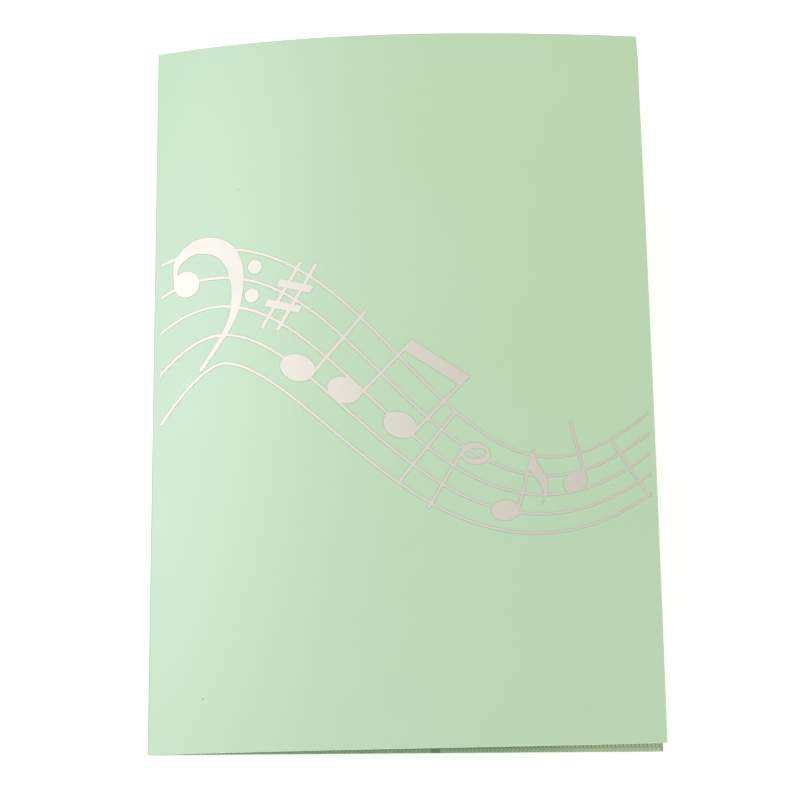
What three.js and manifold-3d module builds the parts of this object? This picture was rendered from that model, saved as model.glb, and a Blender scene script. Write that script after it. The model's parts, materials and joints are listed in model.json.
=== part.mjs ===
// Music folder: one sheet of polypropylene creased into two covers, four film strips
// welded inside to hold the music, and a staff of notes stamped in silver foil.
// Millimetres, +Z up. The folder lies on its rear cover, and its front cover springs ajar.
// +X runs from the crease to the free edges, +Y from the bottom edges to the top edges.
// The origin is on the surface that the folder lies on, under the middle of the covers.

import * as THREE from 'three';
import { mergeVertices } from 'three/addons/utils/BufferGeometryUtils.js';
import { TessellateModifier } from 'three/addons/modifiers/TessellateModifier.js';
import Module from 'manifold-3d';

const wasm = await Module();
wasm.setup();

// Covers
const PANEL_WIDTH = 215;
const PANEL_HEIGHT = 312;
const SHEET = 0.5;
const FOLD_GAP = 0.6;

// Slope of the sprung front cover, in degrees, at its crease, middle and free edge
const TOP_BOW = { crease: 22.5, middle: 4.5, free: -5.5 };
const BOTTOM_BOW = { crease: 15, middle: 7.5, free: 11.5 };

// Film strips that hold the paper
const FILM = 0.2;
const PAPER_GAP = 0.3;
const WELD_CLEARANCE = 0.1;
const STRIP_HEIGHT = 28;
const WELD_WIDTH = 4.5;
const STRIP_FROM_CREASE = 6;
const STRIP_FROM_FREE_EDGE = 1.3;

// Foil
const FOIL = 0.1;
const FOIL_LIFT = 0.08;
const FOIL_MARGIN = 2.5;
const STAFF_OVERRUN = 20;
const STAFF_START_HEIGHT = 158;
const STAFF_CREST = { across: 74, height: 284 };
const STAFF_TROUGH = { across: 112, height: 8 };
const STAFF_END_HEIGHT = 142;
const STAFF_LINES = 5;
const WIDE_SPACE = 14.5;
const NARROW_SPACE = 6.5;
const WIDE_LINE = 1.4;
const NARROW_LINE = 0.9;

// Fineness of the curved faces
const FACET = 5.5;
const FOIL_FACET = 8;
const FOIL_SPLITS = 12;
const FOIL_TOLERANCE = 0.01;
const TWIST_STEPS = 12;
const CREASE_STEPS = 6;
const BOW_STEPS = 16;
const STAFF_STEPS = 40;

// Worked out from the sizes above
const NEUTRAL_RADIUS = FOLD_GAP / 2 + SHEET / 2;
const OUTER_RADIUS = FOLD_GAP / 2 + SHEET;
const OUTER_FACE = SHEET / 2;
const INNER_FACE = -SHEET / 2;
const OVERALL_WIDTH = OUTER_RADIUS + PANEL_WIDTH;
const OUTER_LINE = (STAFF_LINES - 1) / 2;

const { degToRad, lerp } = THREE.MathUtils;

// The slope in radians at a share of the way across the front cover, at a height up it
function slopeAt(share, height) {
  const up = height / PANEL_HEIGHT;
  const crease = lerp(BOTTOM_BOW.crease, TOP_BOW.crease, up);
  const middle = lerp(BOTTOM_BOW.middle, TOP_BOW.middle, up);
  const free = lerp(BOTTOM_BOW.free, TOP_BOW.free, up);
  const first = 4 * middle - 3 * crease - free;
  const second = 2 * crease + 2 * free - 4 * middle;
  return degToRad(crease + first * share + second * share * share);
}

// A point of the rear cover: across from the crease, up from the bottom edge, and out from
// the middle of the sheet, where out is away from the paper
function onRearCover(across, height, out) {
  return [OUTER_RADIUS + across, height, SHEET / 2 - out];
}

// The same point of the front cover, which follows the bow by adding up short steps
function onFrontCover(across, height, out) {
  const crease = slopeAt(0, height);
  let x = OUTER_RADIUS - Math.sin(crease) * NEUTRAL_RADIUS;
  let z = OUTER_RADIUS + Math.cos(crease) * NEUTRAL_RADIUS;
  const step = across / BOW_STEPS;
  for (let i = 0; i < BOW_STEPS; i += 1) {
    const slope = slopeAt((i + 0.5) * step / PANEL_WIDTH, height);
    x += Math.cos(slope) * step;
    z += Math.sin(slope) * step;
  }
  const slope = slopeAt(across / PANEL_WIDTH, height);
  return [x - Math.sin(slope) * out, height, z + Math.cos(slope) * out];
}

// A point of the crease, which turns from the rear cover round to the front cover
function onCrease(share, height, out) {
  const frontEnd = Math.PI / 2 + slopeAt(0, height);
  const angle = lerp(1.5 * Math.PI, frontEnd, share);
  const radius = NEUTRAL_RADIUS + out;
  return [OUTER_RADIUS + Math.cos(angle) * radius, height, OUTER_RADIUS + Math.sin(angle) * radius];
}

function spread(from, to, steps) {
  return Array.from({ length: steps + 1 }, (_, i) => lerp(from, to, i / steps));
}

// Turns a closed mesh so that its faces point out
function facingOut(geometry) {
  const corner = geometry.getAttribute('position');
  const index = geometry.getIndex();
  const [a, b, c] = [new THREE.Vector3(), new THREE.Vector3(), new THREE.Vector3()];
  let volume = 0;
  for (let i = 0; i < index.count; i += 3) {
    a.fromBufferAttribute(corner, index.getX(i));
    b.fromBufferAttribute(corner, index.getX(i + 1));
    c.fromBufferAttribute(corner, index.getX(i + 2));
    volume += a.dot(b.cross(c));
  }
  if (volume < 0) {
    index.array.reverse();
  }
  geometry.computeVertexNormals();
  return geometry;
}

// A closed band: an outline of height and out values, swept across through the stations
function band(outline, stations, place) {
  const geometry = new THREE.BufferGeometry();
  const ring = (across) => outline.flatMap(([height, out]) => place(across, height, out));
  const corners = stations.flatMap(ring);
  const size = outline.length;
  const faces = [];
  for (let i = 0; i + 1 < stations.length; i += 1) {
    for (let k = 0; k < size; k += 1) {
      const here = i * size + k;
      const next = i * size + (k + 1) % size;
      faces.push(here, next, next + size, here, next + size, here + size);
    }
  }
  const lastRing = (stations.length - 1) * size;
  const flat = outline.map(([height, out]) => new THREE.Vector2(height, out));
  const clockwise = THREE.ShapeUtils.isClockWise(flat);
  for (const cap of THREE.ShapeUtils.triangulateShape(flat, [])) {
    const [a, b, c] = clockwise ? cap.reverse() : cap;
    faces.push(c, b, a, lastRing + a, lastRing + b, lastRing + c);
  }
  geometry.setAttribute('position', new THREE.Float32BufferAttribute(corners, 3));
  geometry.setIndex(faces);
  return facingOut(geometry);
}

// The section of a plain sheet, with points up its height so that it can twist
function sheetSection(steps) {
  const heights = spread(0, PANEL_HEIGHT, steps);
  const inner = heights.map((height) => [height, INNER_FACE]);
  const outer = heights.map((height) => [height, OUTER_FACE]).reverse();
  return [...inner, ...outer];
}

// The section of a film strip: a weld that meets the cover, and a lip that paper slides under
function stripSection(fromEdge) {
  const under = INNER_FACE - PAPER_GAP;
  const face = under - FILM;
  return [
    [fromEdge(0), INNER_FACE - WELD_CLEARANCE],
    [fromEdge(WELD_WIDTH), INNER_FACE - WELD_CLEARANCE],
    [fromEdge(WELD_WIDTH), under],
    [fromEdge(STRIP_HEIGHT), under],
    [fromEdge(STRIP_HEIGHT), face],
    [fromEdge(0), face],
  ];
}

const fromBottom = (distance) => distance;
const fromTop = (distance) => PANEL_HEIGHT - distance;
const coverStations = spread(0, PANEL_WIDTH, Math.ceil(PANEL_WIDTH / FACET));
const stripEnd = PANEL_WIDTH - STRIP_FROM_FREE_EDGE;
const stripSteps = Math.ceil((stripEnd - STRIP_FROM_CREASE) / FACET);
const bowedStrip = spread(STRIP_FROM_CREASE, stripEnd, stripSteps);
const flatStrip = [STRIP_FROM_CREASE, stripEnd];

// The staff: its middle line is one S-curve, and its spaces narrow along it. It is drawn
// past both edges of the cover, and the foil is then trimmed to a straight margin.
const staffCurve = new THREE.CubicBezierCurve(
  new THREE.Vector2(-STAFF_OVERRUN, STAFF_START_HEIGHT),
  new THREE.Vector2(STAFF_CREST.across, STAFF_CREST.height),
  new THREE.Vector2(STAFF_TROUGH.across, STAFF_TROUGH.height),
  new THREE.Vector2(PANEL_WIDTH + STAFF_OVERRUN, STAFF_END_HEIGHT),
);

// Where a mark stands: a share along the staff, a line counted from the middle one,
// its turn and the height of a space there
function staffPlace(along, line) {
  const tangent = staffCurve.getTangent(along);
  const space = lerp(WIDE_SPACE, NARROW_SPACE, along);
  const normal = new THREE.Vector2(-tangent.y, tangent.x);
  const point = staffCurve.getPoint(along).addScaledVector(normal, line * space);
  return { point, turn: tangent.angle(), space, normal };
}

function polygon(points) {
  return new THREE.Shape(points.map(([x, y]) => new THREE.Vector2(x, y)));
}

// A stroke along a curve, with a width for each share of the way
function stroke(curve, steps, widthAt) {
  const left = [];
  const right = [];
  for (const share of spread(0, 1, steps)) {
    const point = curve.getPoint(share);
    const tangent = curve.getTangent(share);
    const normal = new THREE.Vector2(-tangent.y, tangent.x);
    left.push(point.clone().addScaledVector(normal, widthAt(share) / 2));
    right.push(point.clone().addScaledVector(normal, -widthAt(share) / 2));
  }
  return new THREE.Shape([...left, ...right.reverse()]);
}

function staffLine(line) {
  const points = spread(0, 1, STAFF_STEPS).map((along) => staffPlace(along, line).point);
  const widthAt = (share) => lerp(WIDE_LINE, NARROW_LINE, share);
  return stroke(new THREE.SplineCurve(points), STAFF_STEPS, widthAt);
}

// Marks are drawn in spaces of the staff, about the middle of their head
const STEM = 0.14;
const STEM_HEIGHT = 3.3;
const HEAD_HALF_LENGTH = 0.7;
const HEAD_HALF_HEIGHT = 0.52;
const HEAD_TILT = 0.35;
const HOLE_LENGTH_SHARE = 0.72;
const HOLE_HEIGHT_SHARE = 0.45;
const HOLE_TILT = 0.63;
const STEM_FROM_HEAD_END = 0.3 * STEM;
const STEM_ROOT = 0.15;
const DOT_RADIUS = 0.26;
const KNOB_RADIUS = 0.45;
const HOOK_TIP = 0.12;
const HOOK_SWELL = 0.5;
const HOOK_STEPS = 30;
const CURVE_POINTS = 9;

function head(x, y, hollow = false) {
  const shape = new THREE.Shape();
  shape.absellipse(x, y, HEAD_HALF_LENGTH, HEAD_HALF_HEIGHT, 0, 2 * Math.PI, false, HEAD_TILT);
  if (hollow) {
    const hole = new THREE.Path();
    const across = HEAD_HALF_LENGTH * HOLE_LENGTH_SHARE;
    const up = HEAD_HALF_HEIGHT * HOLE_HEIGHT_SHARE;
    hole.absellipse(x, y, across, up, 0, 2 * Math.PI, true, HOLE_TILT);
    shape.holes.push(hole);
  }
  return shape;
}

function bar(left, bottom, width, height) {
  const right = left + width;
  const top = bottom + height;
  return polygon([[left, bottom], [right, bottom], [right, top], [left, top]]);
}

const UP_STEM_LEFT = HEAD_HALF_LENGTH - STEM_FROM_HEAD_END - STEM;
const DOWN_STEM_LEFT = STEM_FROM_HEAD_END - HEAD_HALF_LENGTH;

function stemUp(x, y, height) {
  return bar(x + UP_STEM_LEFT, y + STEM_ROOT, STEM, height - STEM_ROOT);
}

function stemDown(x, y) {
  return bar(x + DOWN_STEM_LEFT, y - STEM_HEIGHT, STEM, STEM_HEIGHT - STEM_ROOT);
}

function quarterNote() {
  return [head(0, 0), stemUp(0, 0, STEM_HEIGHT)];
}

function halfNote() {
  return [head(0, 0, true), stemDown(0, 0)];
}

function flaggedNote() {
  const root = UP_STEM_LEFT + STEM / 2;
  const flag = new THREE.Shape();
  flag.moveTo(root, STEM_HEIGHT);
  flag.bezierCurveTo(root + 0.15, 2.5, root + 1.6, 2.2, root + 1.05, 0.7);
  flag.bezierCurveTo(root + 1.15, 1.6, root + 0.4, 1.9, root, STEM_HEIGHT - 1);
  return [...quarterNote(), flag];
}

function beamedPair() {
  const step = 2.6;
  const rise = 0.5;
  const beam = 0.55;
  const left = UP_STEM_LEFT;
  const right = left + step + STEM;
  const beamShape = polygon([
    [left, STEM_HEIGHT - beam],
    [right, STEM_HEIGHT - beam + rise],
    [right, STEM_HEIGHT + rise],
    [left, STEM_HEIGHT],
  ]);
  const stems = [stemUp(0, 0, STEM_HEIGHT - beam / 2), stemUp(step, rise, STEM_HEIGHT - beam / 2)];
  return [head(0, 0), head(step, rise), ...stems, beamShape];
}

function sharp() {
  const arm = 0.3;
  const half = 0.62;
  const slant = 0.18;
  const length = 2.8;
  const cross = (y) => polygon([
    [-half, y - arm / 2 - slant],
    [half, y - arm / 2 + slant],
    [half, y + arm / 2 + slant],
    [-half, y + arm / 2 - slant],
  ]);
  return [bar(-0.34, -1.5, STEM, length), bar(0.2, -1.3, STEM, length), cross(0.42), cross(-0.42)];
}

function bassClef() {
  const knob = new THREE.Shape();
  knob.absarc(0.2, 0, KNOB_RADIUS, 0, 2 * Math.PI);
  const hook = new THREE.SplineCurve([
    new THREE.Vector2(-0.16, 0.05),
    new THREE.Vector2(0.12, 0.78),
    new THREE.Vector2(0.95, 1.05),
    new THREE.Vector2(1.75, 0.55),
    new THREE.Vector2(1.85, -0.45),
    new THREE.Vector2(1.2, -1.75),
    new THREE.Vector2(-0.35, -2.95),
  ]);
  const widthAt = (share) => HOOK_TIP + HOOK_SWELL * Math.sin(Math.PI * share) ** 2;
  return [knob, stroke(hook, HOOK_STEPS, widthAt)];
}

function dot() {
  const shape = new THREE.Shape();
  shape.absarc(0, 0, DOT_RADIUS, 0, 2 * Math.PI);
  return [shape];
}

function barLine() {
  return [bar(-STEM / 2, -OUTER_LINE, STEM, 2 * OUTER_LINE)];
}

// Each mark with its place on the staff
const MARKS = [
  { draw: bassClef, along: 0.14, line: 1 },
  { draw: sharp, along: 0.305, line: 1 },
  { draw: quarterNote, along: 0.385, line: -1 },
  { draw: beamedPair, along: 0.46, line: -0.5 },
  { draw: barLine, along: 0.6, line: 0 },
  { draw: halfNote, along: 0.665, line: 1 },
  { draw: flaggedNote, along: 0.74, line: -1 },
  { draw: quarterNote, along: 0.84, line: 0.5 },
  { draw: barLine, along: 0.91, line: 0 },
];
const CLEF_DOTS = [
  { name: 'foil_clef_dot_upper', along: 0.242, line: 1.5 },
  { name: 'foil_clef_dot_lower', along: 0.25, line: 0.5 },
];

// A flat slab of foil, one unit thick
function slab(shape) {
  return new THREE.ExtrudeGeometry(shape, { depth: 1, bevelEnabled: false, curveSegments: CURVE_POINTS });
}

function slabAt(shape, { point, turn, space }) {
  const move = new THREE.Matrix4().makeRotationZ(turn);
  move.scale(new THREE.Vector3(space, space, 1));
  move.setPosition(point.x, point.y, 0);
  return slab(shape).applyMatrix4(move);
}

function toSolid(geometry) {
  const bare = geometry.clone();
  bare.deleteAttribute('normal');
  bare.deleteAttribute('uv');
  const merged = mergeVertices(bare);
  const vertProperties = merged.getAttribute('position').array;
  const triVerts = Uint32Array.from(merged.getIndex().array);
  return new wasm.Manifold(new wasm.Mesh({ numProp: 3, vertProperties, triVerts }));
}

function fromSolid(solid) {
  const mesh = solid.getMesh();
  const geometry = new THREE.BufferGeometry();
  geometry.setAttribute('position', new THREE.Float32BufferAttribute(mesh.vertProperties, 3));
  geometry.setIndex(Array.from(mesh.triVerts));
  return geometry;
}

// The area of the front cover that foil may cover, as a flat slab
function foilField() {
  const width = PANEL_WIDTH - 2 * FOIL_MARGIN;
  const height = PANEL_HEIGHT - 2 * FOIL_MARGIN;
  return slab(bar(FOIL_MARGIN, FOIL_MARGIN, width, height));
}

// Joins flat slabs, trims them, and presses the foil onto the outside of the front cover
function stamped(slabs) {
  const joined = slabs.map(toSolid).reduce((all, solid) => all.add(solid));
  const trimmed = joined.intersect(toSolid(foilField())).simplify(FOIL_TOLERANCE);
  const fine = new TessellateModifier(FOIL_FACET, FOIL_SPLITS).modify(fromSolid(trimmed));
  const corner = fine.getAttribute('position');
  for (let i = 0; i < corner.count; i += 1) {
    const out = OUTER_FACE + FOIL_LIFT + corner.getZ(i) * FOIL;
    corner.setXYZ(i, ...onFrontCover(corner.getX(i), corner.getY(i), out));
  }
  fine.deleteAttribute('normal');
  return facingOut(mergeVertices(fine));
}

const coverMaterial = new THREE.MeshStandardMaterial({ color: 0xc4dfbf, roughness: 0.5, metalness: 0 });
const filmMaterial = new THREE.MeshStandardMaterial({ color: 0xbcd6b2, roughness: 0.35, metalness: 0 });
const foilMaterial = new THREE.MeshStandardMaterial({ color: 0xd6cfc6, roughness: 0.3, metalness: 0.9 });

const folder = new THREE.Group();
folder.position.set(-OVERALL_WIDTH / 2, -PANEL_HEIGHT / 2, 0);

function addPart(name, geometry, material) {
  const mesh = new THREE.Mesh(geometry, material);
  mesh.name = name;
  folder.add(mesh);
}

const twistedSection = sheetSection(TWIST_STEPS);
addPart('rear_cover', band(sheetSection(1), [0, PANEL_WIDTH], onRearCover), coverMaterial);
addPart('spine_crease', band(twistedSection, spread(0, 1, CREASE_STEPS), onCrease), coverMaterial);
addPart('front_cover', band(twistedSection, coverStations, onFrontCover), coverMaterial);
addPart('rear_bottom_strip', band(stripSection(fromBottom), flatStrip, onRearCover), filmMaterial);
addPart('rear_top_strip', band(stripSection(fromTop), flatStrip, onRearCover), filmMaterial);
addPart('front_bottom_strip', band(stripSection(fromBottom), bowedStrip, onFrontCover), filmMaterial);
addPart('front_top_strip', band(stripSection(fromTop), bowedStrip, onFrontCover), filmMaterial);

const lines = spread(-OUTER_LINE, OUTER_LINE, STAFF_LINES - 1).map((line) => slab(staffLine(line)));
const marks = MARKS.flatMap(({ draw, along, line }) => {
  const place = staffPlace(along, line);
  return draw().map((shape) => slabAt(shape, place));
});
addPart('foil_staff', stamped([...lines, ...marks]), foilMaterial);

for (const { name, along, line } of CLEF_DOTS) {
  addPart(name, stamped(dot().map((shape) => slabAt(shape, staffPlace(along, line)))), foilMaterial);
}

const model = new THREE.Group();
model.add(folder);

export default model;
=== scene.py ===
# %% [markdown]
# # A sheet music folder
# The folder is one sheet of mint green polypropylene, creased once down its left side. Four
# strips of film are heat welded inside it to hold the music, and a staff of notes is hot
# stamped on its front in silver foil. It lies on a white table with its front cover sprung
# ajar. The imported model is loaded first, because it settles every size, place and joint.

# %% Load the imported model
import json
import math

import bpy
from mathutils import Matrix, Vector


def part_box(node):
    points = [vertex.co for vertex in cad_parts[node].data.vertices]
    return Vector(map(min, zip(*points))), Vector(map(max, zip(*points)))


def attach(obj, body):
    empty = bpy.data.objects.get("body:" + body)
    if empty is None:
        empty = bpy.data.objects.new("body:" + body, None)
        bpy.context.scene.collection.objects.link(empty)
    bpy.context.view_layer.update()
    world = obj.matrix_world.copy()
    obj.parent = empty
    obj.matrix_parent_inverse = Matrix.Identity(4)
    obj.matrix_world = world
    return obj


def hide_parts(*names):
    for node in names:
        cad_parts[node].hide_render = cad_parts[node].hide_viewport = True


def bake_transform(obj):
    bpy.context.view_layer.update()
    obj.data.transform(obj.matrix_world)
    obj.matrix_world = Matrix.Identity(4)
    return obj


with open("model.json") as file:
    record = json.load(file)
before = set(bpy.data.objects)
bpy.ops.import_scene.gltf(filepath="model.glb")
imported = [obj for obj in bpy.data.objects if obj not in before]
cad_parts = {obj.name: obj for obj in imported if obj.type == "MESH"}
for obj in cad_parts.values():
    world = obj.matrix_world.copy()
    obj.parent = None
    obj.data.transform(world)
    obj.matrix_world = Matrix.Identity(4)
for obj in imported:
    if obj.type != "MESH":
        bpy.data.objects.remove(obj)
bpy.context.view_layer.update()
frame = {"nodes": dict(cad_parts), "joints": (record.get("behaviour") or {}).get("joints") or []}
MM = 0.001
print("The model holds", sorted(frame["nodes"]))

# %% [markdown]
# ## Camera
# The photograph was taken from almost straight above, a little from the folder's bottom edge.
# The two covers and the way they narrow with distance give the camera's place and its lens.
# The last turn and the sideways tilt are small, and bring the crease to its true slant.

# %% Place the camera
CAMERA_PLACE = Vector((-0.02984, -0.25679, 1.00638))
CAMERA_TURNS = (math.radians(14.1257), math.radians(-1.5889), math.radians(-0.193))
LENS = 107.73
SENSOR = 36.0

bpy.ops.object.select_all(action="DESELECT")
bpy.ops.object.camera_add(location=CAMERA_PLACE)
camera = bpy.context.object
camera.name = "table_camera"
camera.rotation_mode = "ZYX"
camera.rotation_euler = CAMERA_TURNS
camera.data.lens = LENS
camera.data.sensor_width = SENSOR
bpy.context.scene.camera = camera
print("The camera looks down from", round(CAMERA_PLACE.z, 3), "m")

# %% [markdown]
# ## Shader maths
# A finish is easier to read as sums than as a net of nodes. This class holds one socket, and
# an expression such as `grain * 0.2 + 0.4` adds the Math nodes that work it out. Every other
# node comes from its one method, which takes the node's type, settings and inputs.


# %% Write shader maths as expressions
class Wire:
    """One socket of a material, or its empty tree where there is no socket yet."""

    def __init__(self, tree, socket=None):
        self.tree = tree
        self.socket = socket

    def node(self, kind, settings=None, inputs=None, output=0):
        made = self.tree.nodes.new(kind)
        for name, value in (settings or {}).items():
            setattr(made, name, value)
        for name, value in (inputs or {}).items():
            if isinstance(value, Wire):
                self.tree.links.new(value.socket, made.inputs[name])
            else:
                made.inputs[name].default_value = value
        return Wire(self.tree, made.outputs[output])

    def maths(self, operation, first, second):
        return self.node("ShaderNodeMath", {"operation": operation}, {0: first, 1: second})

    def __add__(self, other):
        return self.maths("ADD", self, other)

    __radd__ = __add__

    def __mul__(self, other):
        return self.maths("MULTIPLY", self, other)

    __rmul__ = __mul__


def linear(red, green, blue):
    """The colour that a picture shows as these three numbers from 0 to 255."""
    def channel(value):
        share = value / 255
        return share / 12.92 if share <= 0.04045 else ((share + 0.055) / 1.055) ** 2.4

    return (channel(red), channel(green), channel(blue), 1.0)


# %% [markdown]
# ## Finishes
# A new material starts with one Principled shader. Numbers that are the same all over a
# surface are set on the shader's own sockets, and only what changes over the surface is
# linked, so that the finish can be baked later.


# %% Start a finish
OBJECT_OUTPUT = 3
COLOUR_OUTPUT = 2


def new_finish(name, **numbers):
    material = bpy.data.materials.new(name)
    material.use_nodes = True
    shader = material.node_tree.nodes["Principled BSDF"]
    for socket, value in numbers.items():
        shader.inputs[socket.replace("_", " ")].default_value = value
    return material, shader, Wire(material.node_tree)


def link(shader, wire, socket):
    wire.tree.links.new(wire.socket, shader.inputs[socket])


def noise(tree, coordinates, size, detail=2.0):
    """Noise with patches of about this size in metres, from 0 to 1."""
    settings = {"noise_dimensions": "3D"}
    inputs = {"Vector": coordinates, "Scale": 1 / size, "Detail": detail}
    return tree.node("ShaderNodeTexNoise", settings, inputs)


def between(tree, share, first, second):
    """The first colour where the share is 0 and the second where it is 1."""
    inputs = {0: share, 6: first, 7: second}
    return tree.node("ShaderNodeMix", {"data_type": "RGBA"}, inputs, COLOUR_OUTPUT)


def place_on_piece(tree):
    """The piece's own coordinates, which stay with it when it moves."""
    return tree.node("ShaderNodeTexCoord", output=OBJECT_OUTPUT)


def bumped(tree, height, depth, strength=1.0):
    inputs = {"Height": height, "Distance": depth, "Strength": strength}
    return tree.node("ShaderNodeBump", None, inputs)


# %% [markdown]
# ## Polypropylene
# The covers are extruded sheet with a frosted face: a very fine matte grain that spreads
# reflections into a broad sheen, and slight unevenness from the rollers over a few
# centimetres. Under the skin the plastic lets a little light through, which a small amount
# of subsurface scattering gives. The film, its welds and the grit use the same recipe.

# %% Make the polypropylene finish
FROST_GRAIN = 0.35 * MM
FROST_DEPTH = 0.012 * MM
FROST_DETAIL = 3.0
ROLLER_WAVE = 45 * MM
ROLLER_DETAIL = 1.0
WAVE_IN_COLOUR = 0.8
WAVE_IN_ROUGHNESS = 0.06
FROST_IN_ROUGHNESS = 0.08
PLASTIC_IOR = 1.49
SCATTER = 0.06
SCATTER_REACH = (0.6 * MM, 1.0 * MM, 0.5 * MM)
MINT = linear(178, 205, 163)
MINT_PALE = linear(183, 209, 169)


def make_polypropylene(name, colour, pale, roughness, frost):
    material, shader, tree = new_finish(
        name,
        IOR=PLASTIC_IOR,
        Subsurface_Weight=SCATTER,
        Subsurface_Radius=SCATTER_REACH,
        Subsurface_Scale=1.0,
    )
    place = place_on_piece(tree)
    wave = noise(tree, place, ROLLER_WAVE, ROLLER_DETAIL)
    grain = noise(tree, place, FROST_GRAIN, FROST_DETAIL)
    shade = wave * WAVE_IN_COLOUR + grain * (1 - WAVE_IN_COLOUR)
    gloss = wave * WAVE_IN_ROUGHNESS + grain * FROST_IN_ROUGHNESS + roughness
    link(shader, between(tree, shade, colour, pale), "Base Color")
    link(shader, gloss, "Roughness")
    link(shader, bumped(tree, grain, FROST_DEPTH, frost), "Normal")
    return material


cover_finish = make_polypropylene(
    "mint_polypropylene", MINT, MINT_PALE, roughness=0.36, frost=0.6
)
FILM = linear(204, 229, 197)
FILM_PALE = linear(209, 233, 203)
WELD = linear(226, 246, 218)
WELD_PALE = linear(230, 249, 222)
# The grooves and one patch of the weld are coloured darker with painted shade.
WELD_SHADE = linear(166, 190, 152)
WELD_SHADE_PALE = linear(173, 197, 160)
film_finish = make_polypropylene("mint_film", FILM, FILM_PALE, roughness=0.2, frost=0.15)
weld_finish = make_polypropylene("welded_film", WELD, WELD_PALE, roughness=0.42, frost=0.6)
weld_shade_finish = make_polypropylene("painted_weld_shade", WELD_SHADE, WELD_SHADE_PALE, roughness=0.3, frost=0.3)
print("Finishes:", cover_finish.name, film_finish.name, weld_finish.name, weld_shade_finish.name)

# %% [markdown]
# ## Foil
# The foil is a film of aluminium over a warm lacquer. The grain of the plastic under it
# breaks up its reflections, so it looks satin silver with a faintly pink cast. The hot die
# squeezes up a very fine bead of plastic round each stroke. The bead is coloured a darker green
# than the cover, and that darker green is painted shade.

# %% Make the foil finishes
FOIL_WARM = linear(194, 187, 170)
FOIL_PALE = linear(202, 196, 180)
FOIL_MOTTLE = 14 * MM
FOIL_METAL = 0.75
FOIL_ROUGHNESS = 0.5
MOTTLE_IN_ROUGHNESS = 0.1
GRAIN_IN_ROUGHNESS = 0.12

foil_finish, foil_shader, foil_tree = new_finish("silver_foil", Metallic=FOIL_METAL)
foil_place = place_on_piece(foil_tree)
foil_mottle = noise(foil_tree, foil_place, FOIL_MOTTLE)
foil_grain = noise(foil_tree, foil_place, FROST_GRAIN, FROST_DETAIL)
foil_gloss = foil_mottle * MOTTLE_IN_ROUGHNESS + foil_grain * GRAIN_IN_ROUGHNESS + FOIL_ROUGHNESS
link(foil_shader, between(foil_tree, foil_mottle, FOIL_WARM, FOIL_PALE), "Base Color")
link(foil_shader, foil_gloss, "Roughness")
link(foil_shader, bumped(foil_tree, foil_grain, FROST_DEPTH), "Normal")

# The bead's darker green is painted shade round each stroke.
BEAD_SHADE = linear(150, 168, 138)
BEAD_SHADE_PALE = linear(160, 177, 148)
bead_shade_finish = make_polypropylene("bead_painted_shade", BEAD_SHADE, BEAD_SHADE_PALE, roughness=0.4, frost=0.2)
print("Finishes:", foil_finish.name, bead_shade_finish.name)

# %% [markdown]
# ## Working by hand
# An operator acts on everything that is selected, and the loaded model is selected when it
# arrives. So each step first drops the selection and then picks just the piece it works on.

# %% Pick pieces and faces
MERGE_DISTANCE = 0.002 * MM


def only(piece):
    bpy.ops.object.select_all(action="DESELECT")
    piece.select_set(True)
    bpy.context.view_layer.objects.active = piece


def edit(piece, mode="FACE"):
    """Opens a piece in edit mode with nothing selected."""
    only(piece)
    bpy.ops.object.mode_set(mode="EDIT")
    bpy.ops.mesh.select_mode(type=mode)
    bpy.ops.mesh.select_all(action="DESELECT")


def done():
    bpy.ops.object.mode_set(mode="OBJECT")


def pick_faces(piece, wanted):
    """Selects the faces whose normal and centre are wanted, in edit mode."""
    edit(piece)
    done()
    for face in piece.data.polygons:
        face.select = wanted(face.normal, face.center)
    bpy.ops.object.mode_set(mode="EDIT")


def apply(piece, kind, **settings):
    """Adds a modifier with these settings and applies it."""
    only(piece)
    modifier = piece.modifiers.new(kind.lower(), kind)
    for name, value in settings.items():
        setattr(modifier, name, value)
    bpy.ops.object.modifier_apply(modifier=modifier.name)


def copy_of(node, name):
    """A merged copy of a CAD node, which becomes the start of a finer piece."""
    only(frame["nodes"][node])
    bpy.ops.object.duplicate()
    piece = bpy.context.object
    piece.name = name
    piece.parent = None
    for key in list(piece.keys()):
        del piece[key]
    piece.data.materials.clear()
    edit(piece, "VERT")
    bpy.ops.mesh.select_all(action="SELECT")
    bpy.ops.mesh.remove_doubles(threshold=MERGE_DISTANCE)
    done()
    return piece


def finished(piece, finish, slot, body, *nodes):
    piece.data.materials.append(finish)
    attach(piece, body)
    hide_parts(*nodes)
    print(piece.name, "has", len(piece.data.polygons), "faces")


# %% [markdown]
# ## Front cover
# The real cover is a flat sheet that springs into a twisted bow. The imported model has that
# bow in flat facets. Their outer faces alone are kept as a skin, joined into four-sided
# faces and subdivided, which rounds the facets into one smooth sheet. The skin then gets its
# thickness inwards, so the outside stays where the model has it, and its cut edges are
# broken with a small bevel that catches the light. Weighted normals keep the flat of the
# sheet even right up to that bevel.

# %% Make the front cover
SHEET = 0.5 * MM
EDGE_BREAK = 0.2 * MM
EDGE_SEGMENTS = 3
CUT_ANGLE = math.radians(60)
SMOOTH_ANGLE = math.radians(35)
SMOOTHING = 2
QUAD_FLATNESS = 0.2
QUAD_SHAPE = 1.2
SQUARELY = 0.5


def smooth_skin(piece, levels):
    apply(
        piece,
        "SUBSURF",
        levels=levels,
        render_levels=levels,
        boundary_smooth="PRESERVE_CORNERS",
    )


def keep_faces(piece, wanted):
    pick_faces(piece, lambda normal, centre: not wanted(normal, centre))
    bpy.ops.mesh.delete(type="FACE")
    bpy.ops.mesh.select_all(action="SELECT")
    bpy.ops.mesh.tris_convert_to_quads(face_threshold=QUAD_FLATNESS, shape_threshold=QUAD_SHAPE)
    done()


def thicken(piece, thickness):
    apply(piece, "SOLIDIFY", thickness=thickness, offset=-1.0, use_even_offset=True)


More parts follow.
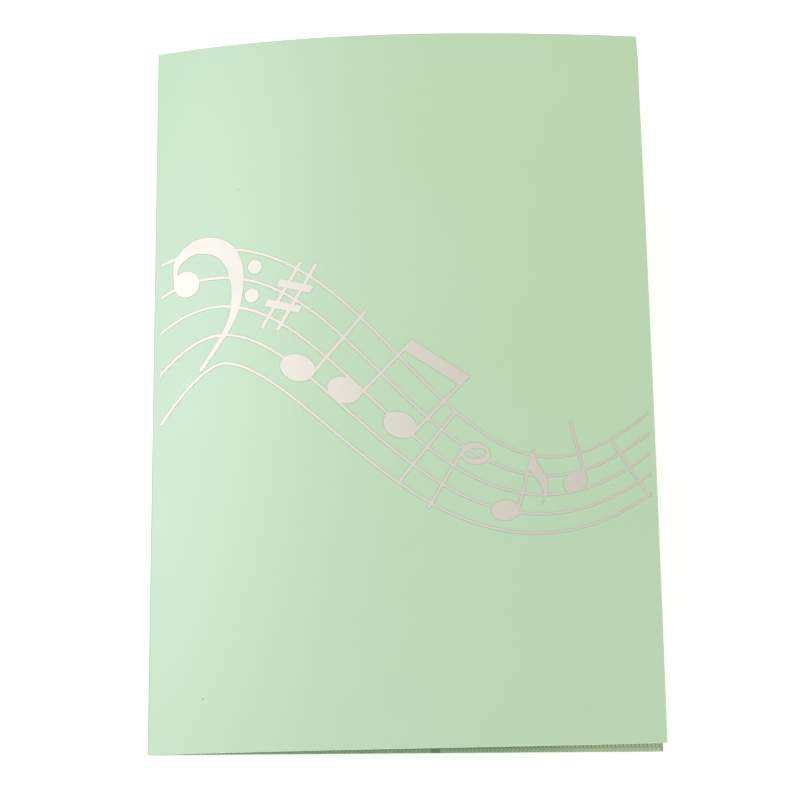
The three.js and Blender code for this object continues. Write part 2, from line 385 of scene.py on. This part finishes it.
def break_edges(piece, width):
    apply(
        piece,
        "BEVEL",
        width=width,
        segments=EDGE_SEGMENTS,
        limit_method="ANGLE",
        angle_limit=CUT_ANGLE,
    )
    only(piece)
    bpy.ops.object.shade_smooth_by_angle(angle=SMOOTH_ANGLE)
    apply(piece, "WEIGHTED_NORMAL", keep_sharp=True)


front_cover = copy_of("front_cover", "front_cover_sheet")
keep_faces(front_cover, lambda normal, centre: normal.z > SQUARELY)
smooth_skin(front_cover, SMOOTHING)
thicken(front_cover, SHEET)
break_edges(front_cover, EDGE_BREAK)
finished(front_cover, cover_finish, "cover", "front", "front_cover")

# %% [markdown]
# ## Rear cover
# The rear cover lies flat, so a cube is enough to start from. It is stretched to the size and
# place that the model gives, and its cut edges get the same small bevel as the front.

# %% Make the rear cover


def block(name, low, high):
    """A cube primitive stretched between two corners, with its place in its mesh."""
    bpy.ops.object.select_all(action="DESELECT")
    middle = (low + high) / 2
    bpy.ops.mesh.primitive_cube_add(size=1, location=middle)
    piece = bpy.context.object
    piece.name = name
    piece.scale = high - low
    bpy.ops.object.transform_apply(location=True, rotation=True, scale=True)
    return piece


rear_low, rear_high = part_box("rear_cover")
rear_cover = block("rear_cover_sheet", Vector(rear_low), Vector(rear_high))
break_edges(rear_cover, EDGE_BREAK)
finished(rear_cover, cover_finish, "cover", "rear", "rear_cover")

# %% [markdown]
# ## Crease
# The crease is the same sheet, turned tightly round from one cover to the other. Its outer
# faces are kept, smoothed and thickened like the front cover's, and it stays fixed where the
# model has it, joined to neither cover's body.

# %% Make the crease
FOLD_RADIUS = 0.3 * MM
FACET_SLACK = 0.93
CREASE_SMOOTH_ANGLE = math.radians(50)
crease_axis = Vector(frame["joints"][0]["pos_m"])


def faces_away_from_axis(normal, centre):
    across = Vector((centre.x - crease_axis.x, 0, centre.z - crease_axis.z))
    on_rim = abs(normal.y) > SQUARELY
    outside = across.length > (SHEET + FOLD_RADIUS) * FACET_SLACK
    return outside and not on_rim and normal.dot(across) > 0


crease = copy_of("spine_crease", "crease_strip")
keep_faces(crease, faces_away_from_axis)
smooth_skin(crease, SMOOTHING)
thicken(crease, SHEET)
only(crease)
bpy.ops.object.shade_smooth_by_angle(angle=CREASE_SMOOTH_ANGLE)
crease.data.materials.append(cover_finish)
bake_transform(crease)
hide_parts("spine_crease")
print(crease.name, "has", len(crease.data.polygons), "faces")

# %% [markdown]
# ## Film strips
# Each strip is film with one edge welded to the cover, and the music slides in behind it. It
# could be drawn again from a plane, but the model's strip already follows the bow and has the
# land at its weld, so a copy of it is kept and only its edges are broken.

# %% Make the film strips
FILM_EDGE_BREAK = 0.04 * MM
STRIPS = {
    "rear_bottom_strip": "rear",
    "rear_top_strip": "rear",
    "front_bottom_strip": "front",
    "front_top_strip": "front",
}
strips = {}
for node, body in STRIPS.items():
    strip = copy_of(node, node + "_film")
    break_edges(strip, FILM_EDGE_BREAK)
    finished(strip, film_finish, "film", body, node)
    strips[node] = strip

# %% [markdown]
# ## Welds
# The heated jaw that welds a strip leaves two rows of marks: dark upright grooves on the side
# of the paper, and pale slanted ridges along the edge of the cover. One mark is drawn as a
# flat card. An array repeats it along the strip, Shrinkwrap lays the cards on the film, flat
# or bowed, and Solidify gives them the height of the mark. The grooves are too shallow to show
# as a cut, so each is a very thin card whose dark colour is painted shade. The bowed strips end
# on a slant, so their marks stop a little sooner.

# %% Make the welds
WELD_PITCH = 1.69 * MM
UPRIGHT = {"size": (0.65 * MM, 1.7 * MM), "turn": 0.0, "height": 0.03 * MM}
UPRIGHT_PLACE = {"from_edge": 2.6 * MM, "from_end": 0.4 * MM}
SLANTED = {"size": (0.5 * MM, 1.8 * MM), "turn": math.radians(38), "height": 0.09 * MM}
SLANTED_PLACE = {"from_edge": 0.95 * MM, "from_end": 1.0 * MM}
WELD_START = 1.2 * MM
BOW_SLACK = 1.3 * MM
LAY_LIFT = 0.01 * MM
CLEARANCE = 1.0 * MM


def card(centre, size, turn=0.0):
    """A flat card on its centre, of this width and height, turned about Z."""
    bpy.ops.object.select_all(action="DESELECT")
    bpy.ops.mesh.primitive_plane_add(size=1, location=centre, rotation=(0, 0, turn))
    piece = bpy.context.object
    piece.scale = (size[0], size[1], 1)
    bpy.ops.object.transform_apply(location=True, rotation=True, scale=True)
    return piece


def lay_on(piece, carrier, facing_up, height):
    """Lays cards on the inner face of a strip, and raises them off it by their height."""
    if not facing_up:
        edit(piece)
        bpy.ops.mesh.select_all(action="SELECT")
        bpy.ops.mesh.flip_normals()
        done()
    apply(
        piece,
        "SHRINKWRAP",
        target=carrier,
        wrap_method="PROJECT",
        use_project_z=True,
        use_negative_direction=facing_up,
        use_positive_direction=not facing_up,
        offset=LAY_LIFT,
    )
    apply(piece, "SOLIDIFY", thickness=height, offset=1.0)


def row_of_marks(name, node, finish, size, turn, height, from_edge, from_end):
    """Repeats one mark along the welded edge of a strip, up to its free end."""
    low, high = (Vector(corner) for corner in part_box(node))
    facing_up = STRIPS[node] == "rear"
    inward, edge = (1, low.y) if "bottom" in node else (-1, high.y)
    level = high.z + CLEARANCE if facing_up else low.z - CLEARANCE
    last = high.x - from_end - (0 if facing_up else BOW_SLACK)
    marks = card((last, edge + inward * from_edge, level), size, -inward * turn)
    marks.name = name
    apply(
        marks,
        "ARRAY",
        count=int((last - low.x - WELD_START) / WELD_PITCH),
        use_relative_offset=False,
        use_constant_offset=True,
        constant_offset_displace=(-WELD_PITCH, 0, 0),
    )
    lay_on(marks, strips[node], facing_up, height)
    marks.data.materials.append(finish)
    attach(marks, STRIPS[node])
    print(marks.name, "has", len(marks.data.polygons), "faces")


for node in STRIPS:
    # The grooves are coloured with painted shade.
    row_of_marks(node.replace("strip", "grooves"), node, weld_shade_finish, **UPRIGHT, **UPRIGHT_PLACE)
    row_of_marks(node.replace("strip", "ridges"), node, weld_finish, **SLANTED, **SLANTED_PLACE)

# %% [markdown]
# A little past the middle, the weld of the rear bottom strip shows one darker patch. It is a
# thin card coloured with painted shade.

# %% Make the patch of painted shade
SHADE_PATCH_FROM_CREASE = 119.5 * MM
SHADE_PATCH_SIZE = (3.8 * MM, 4.2 * MM)
SHADE_PATCH_HEIGHT = 0.1 * MM
SHADE_PATCH_MARGIN = 0.1 * MM
low, high = (Vector(corner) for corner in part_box("rear_bottom_strip"))
shade_patch_place = (
    rear_low[0] + SHADE_PATCH_FROM_CREASE,
    low.y + SHADE_PATCH_SIZE[1] / 2 + SHADE_PATCH_MARGIN,
    high.z + CLEARANCE,
)
# The card's dark colour is painted shade.
shade_patch = card(shade_patch_place, SHADE_PATCH_SIZE)
shade_patch.name = "rear_bottom_shade_patch"
lay_on(shade_patch, strips["rear_bottom_strip"], True, SHADE_PATCH_HEIGHT)
shade_patch.data.materials.append(weld_shade_finish)
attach(shade_patch, "rear")

# %% [markdown]
# ## Foil
# The foil's outline comes from the model. Only its outer faces are kept. The skin is shrunk
# onto the smooth front cover, so that the foil bends exactly as the plastic does, and is then
# given the thickness of a stamped film. It also takes its shading from the cover under it.
# The skin's open edges are copied out first. Turned into a curve with a round section, they
# become the bead that runs round every stroke.

# %% Make the foil and its bead
FOIL_THICKNESS = 0.06 * MM
FOIL_LIFT = 0.02 * MM
BEAD_RADIUS = 0.1 * MM
BEAD_ROUNDNESS = 1
FOIL = {
    "foil_staff": "staff",
    "foil_clef_dot_upper": "upper_dot",
    "foil_clef_dot_lower": "lower_dot",
}


def outline_of(skin, name, radius):
    """A round cord along the open edges of a skin."""
    edit(skin, "EDGE")
    bpy.ops.mesh.select_non_manifold(
        extend=False,
        use_wire=False,
        use_boundary=True,
        use_multi_face=False,
        use_non_contiguous=False,
        use_verts=False,
    )
    bpy.ops.mesh.duplicate()
    bpy.ops.mesh.separate(type="SELECTED")
    done()
    cord = next(piece for piece in bpy.context.selected_objects if piece != skin)
    cord.name = name
    only(cord)
    bpy.ops.object.convert(target="CURVE")
    cord.data.bevel_depth = radius
    cord.data.bevel_resolution = BEAD_ROUNDNESS
    bpy.ops.object.convert(target="MESH")
    bpy.ops.object.shade_smooth()
    return cord


for node, name in FOIL.items():
    foil = copy_of(node, name + "_foil")
    pick_faces(foil, lambda normal, centre: normal.z < SQUARELY)
    bpy.ops.mesh.delete(type="FACE")
    done()
    apply(
        foil,
        "SHRINKWRAP",
        target=front_cover,
        wrap_method="NEAREST_SURFACEPOINT",
        offset=FOIL_LIFT,
    )
    bead = outline_of(foil, name + "_bead", BEAD_RADIUS)
    bead.data.materials.append(bead_shade_finish)
    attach(bead, "front")
    apply(foil, "SOLIDIFY", thickness=FOIL_THICKNESS, offset=1.0)
    only(foil)
    bpy.ops.object.shade_smooth()
    apply(
        foil,
        "DATA_TRANSFER",
        object=front_cover,
        use_loop_data=True,
        data_types_loops={"CUSTOM_NORMAL"},
        loop_mapping="POLYINTERP_NEAREST",
    )
    finished(foil, foil_finish, "foil", "front", node)
    print(bead.name, "has", len(bead.data.polygons), "faces")

# %% [markdown]
# Two grains of dark grit lie on the left of the front cover, one near each end. Each is a
# small sphere pressed flat. A ray cast straight down finds the height of the bowed sheet.

# %% Make the grit
GRIT = linear(96, 110, 92)
GRIT_PALE = linear(120, 132, 112)
GRIT_FLATNESS = 0.5
ABOVE_COVER = 60.0
DOWN = Vector((0, 0, -1))
GRAINS = {
    "upper_grit": {"place": (-71.0, 88.3), "radius": 0.22},
    "lower_grit": {"place": (-84.6, -133.5), "radius": 0.28},
}
grit_finish = make_polypropylene("grit", GRIT, GRIT_PALE, roughness=0.6, frost=1.0)
for name, grain in GRAINS.items():
    across, up = grain["place"]
    spot = front_cover.ray_cast(Vector((across, up, ABOVE_COVER)) * MM, DOWN)[1]
    radius = grain["radius"] * MM
    bpy.ops.object.select_all(action="DESELECT")
    bpy.ops.mesh.primitive_ico_sphere_add(subdivisions=2, radius=radius, location=spot)
    grit = bpy.context.object
    grit.name = name
    grit.scale.z = GRIT_FLATNESS
    bpy.ops.object.transform_apply(location=True, rotation=True, scale=True)
    bpy.ops.object.shade_smooth()
    grit.data.materials.append(grit_finish)
    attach(grit, "front")
    print(grit.name, "lies at", [round(value / MM, 1) for value in spot], "mm")

# %% [markdown]
# ## Table and light
# The table is white and reaches far past the folder. It shows pure white to the camera and
# in reflections, and still takes the folder's soft shadow.

# %% Make the table
TABLE_SIZE = 8.0
TABLE_LEVEL = -0.05 * MM
TABLE_GLOW = 0.62
TABLE_WHITE = (0.8, 0.8, 0.8, 1.0)
TABLE_ROUGHNESS = 0.9
BLACK = (0.0, 0.0, 0.0, 1.0)
WHITE = (1.0, 1.0, 1.0, 1.0)
table_material, table_shader, table_tree = new_finish(
    "white_table",
    Base_Color=TABLE_WHITE,
    Roughness=TABLE_ROUGHNESS,
    Specular_IOR_Level=0.0,
    Emission_Strength=TABLE_GLOW,
)
path = table_tree.tree.nodes.new("ShaderNodeLightPath")
seen = Wire(table_tree.tree, path.outputs["Is Camera Ray"])
mirrored = Wire(table_tree.tree, path.outputs["Is Glossy Ray"])
link(table_shader, between(table_tree, seen + mirrored, BLACK, WHITE), "Emission Color")

bpy.ops.object.select_all(action="DESELECT")
bpy.ops.mesh.primitive_plane_add(size=TABLE_SIZE, location=(0, 0, TABLE_LEVEL))
table = bpy.context.object
table.name = "white_table"
table.data.materials.append(table_material)

# %% [markdown]
# The main light is a wide, slightly cool soft box high on the crease's side. The bow of the
# front cover turns its left part towards it, so the cover is palest beside the crease. A
# weaker, warmer box on the free edges' side fills the upper right. A small one low in front
# lights the cut edge of the front cover and the weld under it. The surroundings are a dim,
# even white that the camera sees as plain white.

# %% Set the light
SKY = 0.3
MIRRORED_SKY = 0.5
COOL = (0.96, 1.0, 1.2)
WARM = (1.08, 1.0, 0.8)
PLAIN = (1.0, 1.0, 1.0)
BOXES = {
    "main_box": {"place": (-1.0866, 0.2911, 1.3406), "size": 0.8, "power": 24.0, "colour": COOL},
    "side_box": {"place": (1.3736, 0.6405, 0.875), "size": 1.0, "power": 11.5, "colour": WARM},
    "front_box": {"place": (0.5, -1.4, 0.13), "size": 0.24, "power": 14.0, "colour": PLAIN},
}

world = bpy.data.worlds.new("studio")
world.use_nodes = True
bpy.context.scene.world = world
background = world.node_tree.nodes["Background"]
rays = world.node_tree.nodes.new("ShaderNodeLightPath")
from_camera = Wire(world.node_tree, rays.outputs["Is Camera Ray"])
from_gloss = Wire(world.node_tree, rays.outputs["Is Glossy Ray"])
background.inputs["Color"].default_value = WHITE
strength = from_camera * (1.0 - SKY) + from_gloss * (MIRRORED_SKY - SKY) + SKY
world.node_tree.links.new(strength.socket, background.inputs["Strength"])

for name, box in BOXES.items():
    bpy.ops.object.select_all(action="DESELECT")
    bpy.ops.object.light_add(type="AREA", location=box["place"])
    lamp = bpy.context.object
    lamp.name = name
    lamp.data.size = box["size"]
    lamp.data.energy = box["power"]
    lamp.data.color = box["colour"]
    lamp.rotation_mode = "QUATERNION"
    lamp.rotation_quaternion = lamp.location.to_track_quat("Z", "Y")
bpy.context.scene.view_settings.view_transform = "Standard"
